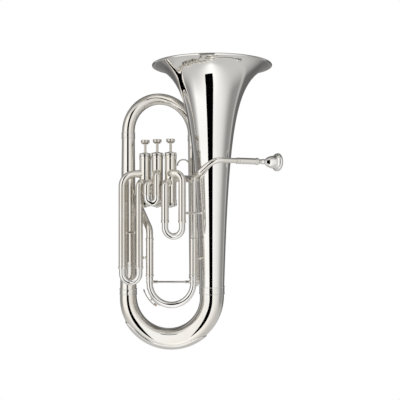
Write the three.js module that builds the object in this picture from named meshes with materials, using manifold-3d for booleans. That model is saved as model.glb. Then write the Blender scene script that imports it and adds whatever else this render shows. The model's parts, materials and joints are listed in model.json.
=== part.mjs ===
// A three-valve baritone horn, bell up, at its real size in millimetres.
// +X runs from the valves to the bell, +Y away from the slides, +Z up along the bell. The origin is under the
// bottom bow, on its guard, where the horn is set down on a stand or a lap.
// The air goes mouthpiece, leadpipe, main tuning slide, gooseneck, valves three to one, rear loop, top bow,
// outer branch, bottom bow, bell.
import * as THREE from "three";
import { mergeVertices } from "three/addons/utils/BufferGeometryUtils.js";
import Module from "manifold-3d";

const wasm = await Module();
wasm.setup();

// ---- Driving dimensions ----

const GAP = 0.3; // between pieces that are soldered or rest on each other
const BELL_X = 80.7;
const RIM_RADIUS = 115.5;
const RIM_Z = 548.5;
const RIM_BEAD = 4; // height of the rolled bead
// The bell is a Bessel horn: its radius falls as (FLARE_LENGTH / (depth + FLARE_LENGTH)) ^ FLARE_POWER.
const FLARE_LENGTH = 25;
const FLARE_POWER = 0.545;
const SHEET = 0.8; // wall of the bell and the bows
const FERRULE_WALL = 1.2;

const BRANCH_X = -80.5;
const BOW_Z = 102.05; // height of the bottom bow's centre
const BOW_RADIUS = (BELL_X - BRANCH_X) / 2;
const BELL_JOINT_Z = 115;
const BRANCH_JOINT_Z = 112;
const TOP_JOINT_Z = 412;
const TOP_BOW_Z = 418.7;
const RISER = [43, 57]; // the rear riser's place, behind the bell
const DOWN_TUBE = [52.4, 29]; // the tube that comes down from the first valve
const REAR_BOW_Z = 137.5;

const LEG_RADIUS = 6; // a slide's moving inner leg
const LEG_BORE = 5.4;
const SLEEVE_BORE = 6.35; // the fixed sleeve that the leg slides in
const SLEEVE_RADIUS = 6.9;

const CASING_RADIUS = 10.9;
const CASING_BORE = 10;
const CASING_Z = [283, 371];
const CAP_RADIUS = 12;
const CAP_TOP_Z = 378.5;
const CAP_BOTTOM_Z = 273.5;
const PISTON_RADIUS = 9.6;
const PISTON_Z = [299, 362];
const STEM_RADIUS = 2.4;
const BUTTON_RADIUS = 8.3;
const BUTTON_Z = [396.8, 402.6];
const PORT_RADIUS = 5.2;
const HIGH_PORT_Z = 337.7;
const LOW_PORT_Z = 320.5;
const MAIN_PORT_Z = 305;
const EXIT_PORT_Z = 329;

// The valves stand in a slight arc; the first is nearest to the player.
const VALVES = { first: [2.6, -37.5], second: [-23.1, -28], third: [-47, -12] };

// Each slide's legs, and how far down its sleeves and its bow reach.
const SLIDES = {
  first: { left: [-7, -56.4], right: [24.8, -56.4], sleeveZ: 246, bowZ: 236.7, legTopZ: 300 },
  second: { left: [-41.5, -45], right: [-22.3, -47], sleeveZ: 297, bowZ: 292.1, legTopZ: 309 },
  third: { left: [-89.1, -28], right: [-57, -28], sleeveZ: 158.4, bowZ: 149, legTopZ: 240 },
};
const TUNING = {
  left: [-37.6, -24],
  right: [45, -24],
  sleeveZ: 143,
  sleeveTopZ: 216,
  bowZ: 130.7,
  legTopZ: 206,
};

const RECEIVER_END = [168.3, -12, 361.7];
const LEADPIPE_FRONT = [83.4, -50, 362.8]; // the bend in front of the bell
const LEADPIPE_BEND = 34;
const RECEIVER_LENGTH = 46;
// Places along the tuning bow, down from its left end, in degrees.
const WATER_KEY_ANGLE = { touch: 15, pivot: 40, cork: 53 };
const LEVER_RADIUS = 52.6;

const TUBE_SIDES = 10;
const BOW_SIDES = 12;
const BELL_SIDES = 24;
const STEP_ANGLE = Math.PI / 7; // of a bend between two sections

// ---- Materials ----

const metal = (color, roughness) => new THREE.MeshStandardMaterial({ color, roughness, metalness: 1 });
const silver = metal(0xe4e1da, 0.1);
const brightSilver = metal(0xeeebe4, 0.06);
const nickel = metal(0xcfccc4, 0.2);
const steel = metal(0xa9a9a6, 0.3);
const buttonSilver = metal(0xe6e3dc, 0.12);
const cork = new THREE.MeshStandardMaterial({ color: 0xb08a5c, roughness: 0.9, metalness: 0 });

const horn = new THREE.Group();

function add(name, geometry, material, parent = horn) {
  const mesh = new THREE.Mesh(geometry, material);
  mesh.name = name;
  parent.add(mesh);
  return mesh;
}

// ---- Centre lines ----

// The line through the corners, with a round bend of the given radius at each inner corner.
// A corner is [x, y, z] at an end and [x, y, z, radius] between.
function route(corners, stepAngle = STEP_ANGLE) {
  const points = corners.map(([x, y, z]) => new THREE.Vector3(x, y, z));
  const stations = [];
  const put = (point, tangent) => {
    const last = stations.at(-1);
    const at = last ? last.at + last.point.distanceTo(point) : 0;
    if (!last || at - last.at > 0.01) stations.push({ point, tangent, at });
  };
  const direction = (i) => points[i + 1].clone().sub(points[i]).normalize();
  put(points[0], direction(0));
  for (let i = 1; i < points.length - 1; i++) {
    const [into, out] = [direction(i - 1), direction(i)];
    const turn = into.angleTo(out);
    const radius = corners[i][3];
    const start = points[i].clone().addScaledVector(into, -radius * Math.tan(turn / 2));
    const axis = into.clone().cross(out).normalize();
    const centre = start.clone().addScaledVector(axis.clone().cross(into), radius);
    const steps = Math.max(1, Math.round(turn / stepAngle));
    for (let s = 0; s <= steps; s++) {
      const angle = (turn * s) / steps;
      const arm = start.clone().sub(centre).applyAxisAngle(axis, angle);
      put(centre.clone().add(arm), into.clone().applyAxisAngle(axis, angle));
    }
  }
  put(points.at(-1), direction(points.length - 2));
  return stations;
}

// A U that runs down one leg and up the other.
const uRoute = (a, b, topZ, bowZ, stepAngle) => {
  const radius = Math.hypot(b[0] - a[0], b[1] - a[1]) / 2;
  const low = bowZ - radius;
  return route([[...a, topZ], [...a, low, radius], [...b, low, radius], [...b, topZ]], stepAngle);
};

// The part of a route whose distance along it is between two values.
const between = (stations, from, to) => stations.filter(({ at }) => at >= from && at <= to);

// ---- Solids ----

// A tube along a route, or a rod where bore is null. outer and bore give a radius at a share of the length.
// span, in degrees, keeps only part of the section: 0 is the first station's +X side.
function sweep(stations, outer, bore, sides = TUBE_SIDES, span = null) {
  const skins = bore ? [outer, bore] : [outer];
  const columns = span ? sides + 1 : sides;
  const [from, to] = span ?? [0, 360];
  const angle = (k) => THREE.MathUtils.degToRad(from + ((to - from) * k) / sides);
  const begin = stations[0].at;
  const length = stations.at(-1).at - begin;
  const position = [];
  const first = stations[0].tangent;
  const side = Math.abs(first.x) > 0.9 ? new THREE.Vector3(0, 0, 1) : new THREE.Vector3(1, 0, 0);
  const normal = side.addScaledVector(first, -side.dot(first)).normalize();
  stations.forEach(({ point, tangent, at }, i) => {
    const before = stations[Math.max(i - 1, 0)].tangent;
    normal.applyQuaternion(new THREE.Quaternion().setFromUnitVectors(before, tangent));
    const across = tangent.clone().cross(normal);
    for (const skin of skins) {
      const radius = skin((at - begin) / length);
      for (let k = 0; k < columns; k++) {
        const vertex = point.clone().addScaledVector(normal, radius * Math.cos(angle(k)));
        position.push(...vertex.addScaledVector(across, radius * Math.sin(angle(k))).toArray());
      }
    }
  });
  const index = [];
  const vertex = (i, skin, k) => (i * skins.length + skin) * columns + (span ? k : k % columns);
  const quad = (a, b, c, d) => index.push(a, b, c, a, c, d);
  const last = stations.length - 1;
  for (let k = 0; k < sides; k++) {
    for (let i = 0; i < last; i++) {
      quad(vertex(i, 0, k), vertex(i, 0, k + 1), vertex(i + 1, 0, k + 1), vertex(i + 1, 0, k));
      if (bore) quad(vertex(i, 1, k + 1), vertex(i, 1, k), vertex(i + 1, 1, k), vertex(i + 1, 1, k + 1));
    }
    if (bore) {
      quad(vertex(0, 0, k), vertex(0, 1, k), vertex(0, 1, k + 1), vertex(0, 0, k + 1));
      quad(vertex(last, 0, k + 1), vertex(last, 1, k + 1), vertex(last, 1, k), vertex(last, 0, k));
    } else if (k > 0 && k < sides - 1) {
      index.push(vertex(0, 0, 0), vertex(0, 0, k + 1), vertex(0, 0, k));
      index.push(vertex(last, 0, 0), vertex(last, 0, k), vertex(last, 0, k + 1));
    }
  }
  if (span) {
    for (let i = 0; i < last; i++) {
      quad(vertex(i, 0, 0), vertex(i + 1, 0, 0), vertex(i + 1, 1, 0), vertex(i, 1, 0));
      quad(vertex(i, 0, sides), vertex(i, 1, sides), vertex(i + 1, 1, sides), vertex(i + 1, 0, sides));
    }
  }
  const geometry = new THREE.BufferGeometry();
  geometry.setAttribute("position", new THREE.Float32BufferAttribute(position, 3));
  return geometry.setIndex(index);
}

const taper = (from, to) => (share) => from + (to - from) * share;
const tube = (stations, from, to, wall, sides) =>
  sweep(stations, taper(from, to), taper(from - wall, to - wall), sides);

// A turned piece about Z, from an outline of [radius, height] that runs anticlockwise.
// An outline that starts and ends on the axis makes a solid piece, and any other is closed into a ring.
function turned(outline, sides = 12) {
  const profile = outline.map(([radius, height]) => new THREE.Vector2(radius, height));
  const onAxis = outline[0][0] === 0 && outline.at(-1)[0] === 0;
  if (!onAxis) profile.push(profile[0].clone());
  return new THREE.LatheGeometry(profile, sides).rotateX(Math.PI / 2);
}

// A ring about Z.
const ring = (bore, radius, low, high, sides) =>
  turned([[bore, low], [radius, low], [radius, high], [bore, high]], sides);

// Turns a piece made about Z so that it starts at from and points to to.
function aim(geometry, from, to) {
  const axis = new THREE.Vector3(...to).sub(new THREE.Vector3(...from)).normalize();
  geometry.applyQuaternion(new THREE.Quaternion().setFromUnitVectors(new THREE.Vector3(0, 0, 1), axis));
  return geometry.translate(...from);
}

// A strut with a soldered foot at each end, between two points, less a stand-off at each end.
function strut(a, b, standOff, radius = 1.6, foot = 3.2) {
  const [from, to] = [new THREE.Vector3(...a), new THREE.Vector3(...b)];
  const axis = to.clone().sub(from).normalize();
  from.addScaledVector(axis, standOff[0]);
  to.addScaledVector(axis, -standOff[1]);
  const length = from.distanceTo(to);
  const slope = Math.min(2.5, length / 3);
  const flange = 0.8;
  const outline = [
    [0, 0], [foot, 0], [foot, flange], [radius, slope],
    [radius, length - slope], [foot, length - flange], [foot, length], [0, length],
  ];
  return aim(turned(outline, 8), from.toArray(), to.toArray());
}

function solid(geometry) {
  const plain = new THREE.BufferGeometry().setAttribute("position", geometry.getAttribute("position"));
  const merged = mergeVertices(plain.setIndex(geometry.index), 1e-4);
  const mesh = new wasm.Mesh({
    numProp: 3,
    vertProperties: new Float32Array(merged.attributes.position.array),
    triVerts: new Uint32Array(merged.index.array),
  });
  return new wasm.Manifold(mesh);
}

function surface(manifold) {
  const { vertProperties, triVerts } = manifold.getMesh();
  const geometry = new THREE.BufferGeometry();
  geometry.setAttribute("position", new THREE.BufferAttribute(new Float32Array(vertProperties), 3));
  return geometry.setIndex(new THREE.BufferAttribute(new Uint32Array(triVerts), 1));
}

const cut = (geometry, ...tools) =>
  surface(tools.reduce((body, tool) => body.subtract(solid(tool)), solid(geometry)));
const join = (geometry, ...more) =>
  surface(more.reduce((body, other) => body.add(solid(other)), solid(geometry)));

// ---- Bell and main branches ----

const bellRadius = (z) => RIM_RADIUS * (FLARE_LENGTH / (RIM_Z - z + FLARE_LENGTH)) ** FLARE_POWER;

function bellOutline() {
  const outside = [];
  const inside = [];
  const levels = 10;
  const deepest = RIM_Z - BELL_JOINT_Z - GAP;
  for (let i = 0; i <= levels; i++) {
    const depth = RIM_BEAD + (deepest - RIM_BEAD) * (1 - i / levels) ** 2.2;
    outside.push([bellRadius(RIM_Z - depth), RIM_Z - depth]);
    inside.unshift([bellRadius(RIM_Z - depth - SHEET) - SHEET, RIM_Z - depth]);
  }
  const bead = [
    [RIM_RADIUS - 3.4, RIM_Z - RIM_BEAD + 0.4],
    [RIM_RADIUS - 1.2, RIM_Z - RIM_BEAD],
    [RIM_RADIUS, RIM_Z - 2],
    [RIM_RADIUS - 0.8, RIM_Z],
    [RIM_RADIUS - 4, RIM_Z],
  ];
  return [...outside, ...bead, ...inside];
}

function addMainBranches() {
  add("bell", turned(bellOutline(), BELL_SIDES), brightSilver).position.x = BELL_X;
  const bellTail = bellRadius(BELL_JOINT_Z);
  const branchFoot = 15.9;
  const branchTop = 12.4;
  const riserTop = 9.5;
  const rearRadius = 6.9;

  const bottom = route(
    [
      [BRANCH_X, 0, BRANCH_JOINT_Z - GAP],
      [BRANCH_X, 0, BOW_Z - BOW_RADIUS, BOW_RADIUS],
      [BELL_X, 0, BOW_Z - BOW_RADIUS, BOW_RADIUS],
      [BELL_X, 0, BELL_JOINT_Z - GAP],
    ],
    Math.PI / 10,
  );
  add("bottom_bow", tube(bottom, branchFoot, bellTail, SHEET, BOW_SIDES), silver);

  const share = (at) => taper(branchFoot, bellTail)(at / bottom.at(-1).at);
  const guarded = between(bottom, BOW_RADIUS * 0.62, BOW_RADIUS * 2.45);
  const guardShare = (s) => share(guarded[0].at + s * (guarded.at(-1).at - guarded[0].at));
  const guard = sweep(guarded, (s) => guardShare(s) + 1.7, (s) => guardShare(s) + 0.5, 8, [120, 240]);
  add("bow_guard", guard, nickel);

  const branch = route([[BRANCH_X, 0, BRANCH_JOINT_Z + GAP], [BRANCH_X, 0, TOP_JOINT_Z - GAP]]);
  add("outer_branch", tube(branch, branchFoot - 0.1, branchTop, SHEET, BOW_SIDES), silver);
  const top = uRoute([BRANCH_X, 0], RISER, -TOP_JOINT_Z - GAP, -TOP_BOW_Z, Math.PI / 9);
  for (const station of top) {
    station.point.z *= -1;
    station.tangent.z *= -1;
  }
  add("top_bow", tube(top, branchTop, riserTop, SHEET, BOW_SIDES), silver);
  const riser = route([[...RISER, REAR_BOW_Z + GAP], [...RISER, TOP_JOINT_Z - GAP]]);
  add("rear_riser", tube(riser, rearRadius, riserTop, SHEET, BOW_SIDES), silver);
  const rearBow = uRoute(RISER, DOWN_TUBE, REAR_BOW_Z, REAR_BOW_Z);
  add("rear_bow", tube(rearBow, rearRadius, SLEEVE_RADIUS - 0.1, SHEET), silver);

  const ferrule = (name, x, y, z, half, radius, sides) => {
    const sleeve = ring(radius, radius + FERRULE_WALL, z - half, z + half, sides);
    add(name, sleeve, nickel).position.set(x, y, 0);
  };
  ferrule("bell_ferrule", BELL_X, 0, BELL_JOINT_Z, 8, bellTail + 0.75, BELL_SIDES);
  ferrule("branch_ferrule_lower", BRANCH_X, 0, BRANCH_JOINT_Z, 6, branchFoot + 0.6, BOW_SIDES);
  ferrule("branch_ferrule_upper", BRANCH_X, 0, TOP_JOINT_Z, 6, branchTop + 0.6, BOW_SIDES);
  ferrule("top_bow_ferrule", RISER[0], RISER[1], TOP_JOINT_Z, 6, riserTop + 0.6, BOW_SIDES);
}

// ---- Valves ----

const casingTool = ([x, y]) =>
  new THREE.CylinderGeometry(CASING_RADIUS + GAP, CASING_RADIUS + GAP, 120, 16)
    .rotateX(Math.PI / 2)
    .translate(x, y, (CASING_Z[0] + CASING_Z[1]) / 2);

// A tube that leaves a valve casing: its start is cut to the casing's side.
function valveTube(name, valve, corners, radius = SLEEVE_RADIUS, bore = LEG_BORE, ends = [valve]) {
  const pipe = sweep(route(corners), () => radius, () => bore);
  return add(name, cut(pipe, ...ends.map((v) => casingTool(VALVES[v]))), silver);
}

// A drill along the horizontal line from a valve's axis to a point, for a port.
function portDrill(valve, [x, y], z, through) {
  const [vx, vy] = VALVES[valve];
  const angle = Math.atan2(y - vy, x - vx);
  const length = 2 * CASING_RADIUS + 2;
  return new THREE.CylinderGeometry(PORT_RADIUS, PORT_RADIUS, length, 8)
    .rotateZ(-Math.PI / 2)
    .translate(through ? 0 : length / 2, 0, 0)
    .rotateZ(angle)
    .translate(0, 0, z);
}

const GOOSENECK_ENTRY = [-62, 13];
const EXIT_BEND = [24, -22];
const FIRST_HIGH_BEND = [5, -50];

// Each valve's ports: the point that the port faces, and its height.
const PORTS = {
  first: [
    [FIRST_HIGH_BEND, HIGH_PORT_Z], [SLIDES.first.left, LOW_PORT_Z],
    [EXIT_BEND, EXIT_PORT_Z], [VALVES.second, MAIN_PORT_Z],
  ],
  second: [
    [SLIDES.second.right, HIGH_PORT_Z], [SLIDES.second.left, LOW_PORT_Z],
    [VALVES.first, MAIN_PORT_Z], [VALVES.third, MAIN_PORT_Z],
  ],
  third: [
    [SLIDES.third.left, HIGH_PORT_Z], [SLIDES.third.right, LOW_PORT_Z],
    [VALVES.second, MAIN_PORT_Z], [GOOSENECK_ENTRY, MAIN_PORT_Z],
  ],
};

// A square section of wire, to draw along a curve.
function wireSection(radius) {
  const corners = [[radius, 0], [0, radius], [-radius, 0], [0, -radius]];
  return new THREE.Shape(corners.map(([a, b]) => new THREE.Vector2(a, b)));
}

function springGeometry() {
  const turns = 4;
  const perTurn = 6;
  const steps = turns * perTurn;
  const radius = 7;
  const [low, high] = [CAP_BOTTOM_Z + 4.4, PISTON_Z[0] - 0.9];
  const points = Array.from({ length: steps + 1 }, (_, i) => {
    const angle = (2 * Math.PI * i) / perTurn;
    const z = low + ((high - low) * i) / steps;
    return new THREE.Vector3(radius * Math.cos(angle), radius * Math.sin(angle), z);
  });
  const extrudePath = new THREE.CatmullRomCurve3(points);
  return new THREE.ExtrudeGeometry(wireSection(0.5), { steps, extrudePath });
}

function addValve(name) {
  const group = new THREE.Group();
  group.position.set(...VALVES[name], 0);
  horn.add(group);
  const [low, high] = CASING_Z;
  const wallDrills = PORTS[name].map(([towards, z]) => portDrill(name, towards, z, false));
  const casing = cut(ring(CASING_BORE, CASING_RADIUS, low, high), ...wallDrills);
  add(`${name}_valve_casing`, casing, silver, group);

  const topOutline = [
    [STEM_RADIUS + 0.6, high + GAP], [CAP_RADIUS, high + GAP], [CAP_RADIUS, high + 4],
    [CASING_RADIUS, CAP_TOP_Z - 2], [4.5, CAP_TOP_Z - 1.4], [4.5, CAP_TOP_Z], [STEM_RADIUS + 0.6, CAP_TOP_Z],
  ];
  add(`${name}_top_cap`, turned(topOutline), nickel, group);
  const bottomOutline = [
    [0, CAP_BOTTOM_Z], [2.5, CAP_BOTTOM_Z], [3, CAP_BOTTOM_Z + 1.2], [CASING_RADIUS, CAP_BOTTOM_Z + 3.6],
    [CAP_RADIUS, CAP_BOTTOM_Z + 4.6], [CAP_RADIUS, low - GAP], [CASING_BORE, low - GAP],
    [CASING_BORE, CAP_BOTTOM_Z + 5.5], [8.6, CAP_BOTTOM_Z + 3.7], [0, CAP_BOTTOM_Z + 3.7],
  ];
  add(`${name}_bottom_cap`, turned(bottomOutline), nickel, group);

  const pistonDrills = PORTS[name].slice(0, 3).map(([towards, z]) => portDrill(name, towards, z, true));
  const [foot, head] = PISTON_Z;
  const piston = turned([[0, foot], [PISTON_RADIUS, foot], [PISTON_RADIUS, head], [0, head]]);
  add(`${name}_piston`, cut(piston, ...pistonDrills), steel, group);
  const [under, top] = BUTTON_Z;
  const buttonOutline = [
    [0, head + GAP], [5.5, head + GAP], [5.5, head + 2], [STEM_RADIUS, head + 3], [STEM_RADIUS, under],
    [BUTTON_RADIUS - 0.7, under], [BUTTON_RADIUS, under + 0.7], [BUTTON_RADIUS, top - 0.7],
    [BUTTON_RADIUS - 0.7, top], [BUTTON_RADIUS - 1.8, top - 0.5], [0, top - 0.5],
  ];
  add(`${name}_valve_button`, turned(buttonOutline), buttonSilver, group);
  add(`${name}_valve_spring`, springGeometry(), steel, group);
}

function addValves() {
  for (const name of Object.keys(VALVES)) addValve(name);
  const knuckle = (a, b) => {
    const corners = [[...VALVES[a], MAIN_PORT_Z], [...VALVES[b], MAIN_PORT_Z]];
    valveTube(`knuckle_${a}_${b}`, a, corners, LEG_RADIUS, LEG_BORE - 0.2, [a, b]);
  };
  knuckle("first", "second");
  knuckle("second", "third");
}

// ---- Slides ----

function addSlideBow(name, { left, right, bowZ, legTopZ }) {
  const bow = uRoute(left, right, legTopZ, bowZ);
  return add(`${name}_slide_bow`, sweep(bow, () => LEG_RADIUS, () => LEG_BORE), brightSilver);
}

// A fixed sleeve with its elbow to the valve. Its lower stretch is bored wide for the moving leg.
function addSleeve(name, valve, corners) {
  const pipe = sweep(route(corners), () => SLEEVE_RADIUS, () => LEG_BORE);
  const [x, y] = corners.at(-1);
  const { sleeveZ, legTopZ } = SLIDES[valve];
  const depth = legTopZ + 1.5 - sleeveZ;
  const reamer = new THREE.CylinderGeometry(SLEEVE_BORE, SLEEVE_BORE, depth + 2, TUBE_SIDES)
    .rotateX(Math.PI / 2)
    .rotateZ(Math.PI / 2)
    .translate(x, y, sleeveZ - 1 + depth / 2);
  return add(name, cut(pipe, casingTool(VALVES[valve]), reamer), silver);
}

function addValveSlides() {
  const { first } = SLIDES;
  const short = 8;
  const elbow = (valve, side, z, radius) => {
    const [x, y] = SLIDES[valve][side];
    const corners = [[...VALVES[valve], z], [x, y, z, radius], [x, y, SLIDES[valve].sleeveZ]];
    addSleeve(`${valve}_sleeve_${side}`, valve, corners);
  };
  elbow("first", "left", LOW_PORT_Z, short + 1);
  addSleeve("first_sleeve_right", "first", [
    [...VALVES.first, HIGH_PORT_Z],
    [...FIRST_HIGH_BEND, HIGH_PORT_Z, 9],
    [...first.right, HIGH_PORT_Z, 15],
    [...first.right, first.sleeveZ],
  ]);
  elbow("second", "left", LOW_PORT_Z, short + 1);
  elbow("second", "right", HIGH_PORT_Z, short);
  elbow("third", "left", HIGH_PORT_Z, 24);
  elbow("third", "right", LOW_PORT_Z, short);
  for (const [name, slide] of Object.entries(SLIDES)) addSlideBow(name, slide);
}

// ---- Leadpipe, mouthpiece and rear loop ----

function addLeadpipe() {
  const [x, y] = TUNING.right;
  const pipe = route([
    RECEIVER_END,
    [...LEADPIPE_FRONT, LEADPIPE_BEND],
    [57, -38, 340.3, 20],
    [x, y, 330, 14],
    [x, y, TUNING.sleeveTopZ + GAP],
  ]);
  const along = new THREE.Vector3(...RECEIVER_END).sub(new THREE.Vector3(...LEADPIPE_FRONT)).normalize();
  const end = new THREE.Vector3(...RECEIVER_END);
  const start = end.clone().addScaledVector(along, -RECEIVER_LENGTH);
  pipe[0].point.copy(start.clone().addScaledVector(along, 12));
  add("leadpipe", tube(pipe, 4.7, 6.3, 0.8), silver);

  const r = { bore: 5.1, body: 6, bead: 6.9 };
  const receiver = [
    [r.bore, 0], [r.body - 0.2, 0], [r.body, 1.2], [r.body, RECEIVER_LENGTH - 4],
    [r.bead, RECEIVER_LENGTH - 3], [r.bead, RECEIVER_LENGTH], [r.bore + 0.6, RECEIVER_LENGTH],
  ];
  const mesh = add("mouthpiece_receiver", turned(receiver, 12), silver);
  const turn = new THREE.Quaternion().setFromUnitVectors(new THREE.Vector3(0, 0, 1), along);
  mesh.position.copy(start);
  mesh.quaternion.copy(turn);

  // Outline from the shank's tip, up the outside, over the rim, down the cup and out through the backbore.
  const shank = -24;
  const outline = [
    [3.6, shank], [4.75, shank], [5, 0.8], [4.6, 1.2], [4.4, 8], [5.2, 10], [5.2, 12.5], [4.6, 14], [5.6, 17],
    [8.6, 21], [11, 26], [12.4, 31.5], [12.6, 36], [15.6, 38.6], [17.2, 41], [17.6, 44], [16.6, 46.2],
    [14.6, 46.9], [13, 45.6], [12.3, 42], [11.6, 36], [9.4, 29], [5, 23.5], [2.9, 20.5], [2.9, 17],
  ];
  const piece = add("mouthpiece", turned(outline, 14), brightSilver);
  piece.position.copy(end);
  piece.quaternion.copy(turn);
}

function addConnectingTubes() {
  const exit = [
    [...VALVES.first, EXIT_PORT_Z],
    [...EXIT_BEND, EXIT_PORT_Z, 10],
    [36, 13, EXIT_PORT_Z, 12],
    [...DOWN_TUBE, EXIT_PORT_Z, 14],
    [...DOWN_TUBE, REAR_BOW_Z + GAP],
  ];
  valveTube("valve_exit_tube", "first", exit, SLEEVE_RADIUS - 0.2, LEG_BORE + 0.4);
  const gooseneck = [
    [...VALVES.third, MAIN_PORT_Z],
    [...GOOSENECK_ENTRY, MAIN_PORT_Z, 11],
    [-60.5, 12.5, 276, 24],
    [...TUNING.left, 232, 20],
    [...TUNING.left, TUNING.sleeveTopZ + GAP],
  ];
  valveTube("gooseneck", "third", gooseneck, SLEEVE_RADIUS - 0.4);
}

// ---- Main tuning slide and its water key ----

function addTuningSlide() {
  const { left, right, sleeveZ, sleeveTopZ, bowZ, legTopZ } = TUNING;
  for (const [side, [x, y]] of [["left", left], ["right", right]]) {
    const sleeve = route([[x, y, sleeveZ], [x, y, sleeveTopZ]]);
    add(`tuning_sleeve_${side}`, sweep(sleeve, () => SLEEVE_RADIUS, () => SLEEVE_BORE), silver);
  }
  addSlideBow("tuning", { left, right, bowZ, legTopZ });
  const braceZ = bowZ + 2.3;
  const standOff = [LEG_RADIUS + GAP, LEG_RADIUS + GAP];
  add("tuning_slide_brace", strut([...left, braceZ], [...right, braceZ], standOff, 2.3, 3.6), silver);
}

function addWaterKey() {
  const { left, right, bowZ } = TUNING;
  const centre = [(left[0] + right[0]) / 2, left[1], bowZ];
  const bowRadius = (right[0] - left[0]) / 2;
  const skin = bowRadius + LEG_RADIUS;
  const at = (degrees, radius, y = 0) => {
    const angle = THREE.MathUtils.degToRad(180 + degrees);
    return [centre[0] + radius * Math.cos(angle), centre[1] + y, centre[2] + radius * Math.sin(angle)];
  };
  const post = (degrees, low, high, radius, y = 0) => {
    const length = high - low;
    const peg = turned([[0, 0], [radius, 0], [radius, length], [0, length]], 8);
    return aim(peg, at(degrees, low, y), at(degrees, high, y));
  };
  const crossRod = (degrees, radius, rod, half, y = 0) =>
    new THREE.CylinderGeometry(rod, rod, 2 * half, 16).translate(...at(degrees, radius, y));
  const arcBar = (from, to, radius, width, thick) => {
    const steps = 6;
    const section = [[-thick, -width], [thick, -width], [thick, width], [-thick, width]];
    const shape = new THREE.Shape(section.map(([a, b]) => new THREE.Vector2(a, b)));
    const points = Array.from({ length: steps + 1 }, (_, i) => {
      const share = i / steps;
      return new THREE.Vector3(...at(from + (to - from) * share, radius(share)));
    });
    return new THREE.ExtrudeGeometry(shape, { steps, extrudePath: new THREE.CatmullRomCurve3(points) });
  };

  const { touch, pivot, cork: corkAngle } = WATER_KEY_ANGLE;
  const pivotRadius = LEVER_RADIUS - 1.6;
  const bow = uRoute(left, right, bowZ, bowZ, Math.PI / 24);
  const saddled = between(bow, bowRadius * 0.6, bowRadius * 1.06);
  const base = sweep(saddled, () => LEG_RADIUS + 1.5, () => LEG_RADIUS + 0.5, 6, [145, 215]);
  const saddle = join(
    base,
    post(corkAngle, skin + 1, skin + 2.3, 2.6),
    post(pivot, skin + 1, pivotRadius + 1.2, 1.1, -3.4),
    post(pivot, skin + 1, pivotRadius + 1.2, 1.1, 3.4),
    crossRod(pivot, pivotRadius, 0.7, 3.9),
  );
  add("water_key_saddle", saddle, silver);

  const barrelY = -0.9;
  const touchLift = 1.2;
  const lever = join(
    arcBar(touch, corkAngle + 3, (s) => LEVER_RADIUS + touchLift * (1 - s) ** 2, 1.5, 0.8),
    crossRod(pivot, pivotRadius, 1.7, 1.3, barrelY),
    post(corkAngle, LEVER_RADIUS - 1.4, LEVER_RADIUS + 0.3, 3.4),
    post(touch + 1, LEVER_RADIUS + touchLift - 0.9, LEVER_RADIUS + touchLift + 0.9, 3.4),
  );
  add("water_key_lever", cut(lever, crossRod(pivot, pivotRadius, 1.05, 6)), nickel);
  add("water_key_cork", post(corkAngle, skin + 2.6, LEVER_RADIUS - 1.7, 3), cork);

  const coil = Array.from({ length: 13 }, (_, i) => {
    const angle = (2 * Math.PI * i) / 6;
    const [x, y, z] = at(pivot, pivotRadius, 0.95 + (1.5 * i) / 12);
    return new THREE.Vector3(x + 1.5 * Math.cos(angle), y, z + 1.5 * Math.sin(angle));
  });
  const spring = { steps: 14, extrudePath: new THREE.CatmullRomCurve3(coil) };
  add("water_key_spring", new THREE.ExtrudeGeometry(wireSection(0.28), spring), steel);
}

// ---- Braces and thumb ring ----

function addBraces() {
  const { first, third } = SLIDES;
  const off = SLEEVE_RADIUS + GAP;
  const brace = (name, from, to, standOff, radius, foot) =>
    add(name, strut(from, to, standOff, radius, foot), silver);

  const thirdZ = 226.7;
  brace("third_slide_brace", [...third.left, thirdZ], [...third.right, thirdZ], [off, off], 1.8, 3.4);
  const sleeveZ = 178.9;
  brace("sleeve_brace", [...third.right, sleeveZ], [...TUNING.left, sleeveZ], [off, off], 1.6, 3.2);

  const firstZ = 263.7;
  const angle = 0.84;
  const reach = bellRadius(firstZ);
  const onBell = [BELL_X - reach * Math.cos(angle), -reach * Math.sin(angle), firstZ];
  brace("first_slide_brace", [...first.right, firstZ], onBell, [off, 0.6], 2.1, 3.5);

  const toBell = (name, [x, y], z, radius) =>
    brace(name, [x, y, z], [BELL_X, 0, z], [radius + GAP, bellRadius(z) + GAP], 2, 3);
  toBell("leadpipe_brace", [70, -44.4], 350.5, 6.2);
  toBell("tuning_sleeve_brace", TUNING.right, 177, SLEEVE_RADIUS);
  const branchZ = 282.5;
  brace("branch_brace", [...third.left, branchZ], [BRANCH_X, 0, branchZ], [off, 14.2 + GAP], 2, 3);

  const [x] = VALVES.first;
  const hook = [
    [x + CASING_RADIUS + 1.7, -36, 352],
    [x + CASING_RADIUS + 1.7, -36, 364, 11.3],
    [37.8, -31, 364, 11.3],
    [38.8, -33.5, 340],
  ];
  add("thumb_ring", sweep(route(hook, Math.PI / 12), () => 1.3, null, 6), silver);
}

addMainBranches();
addValves();
addValveSlides();
addLeadpipe();
addConnectingTubes();
addTuningSlide();
addWaterKey();
addBraces();

export default horn;
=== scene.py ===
"""A silver-plated three-valve baritone horn, bell up, in a white studio.

The pieces are worked out in millimetres and scaled when their meshes are made. The studio is in metres.
"""
import json
import math

import bmesh
import bpy
import numpy as np
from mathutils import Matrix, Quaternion, Vector


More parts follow.
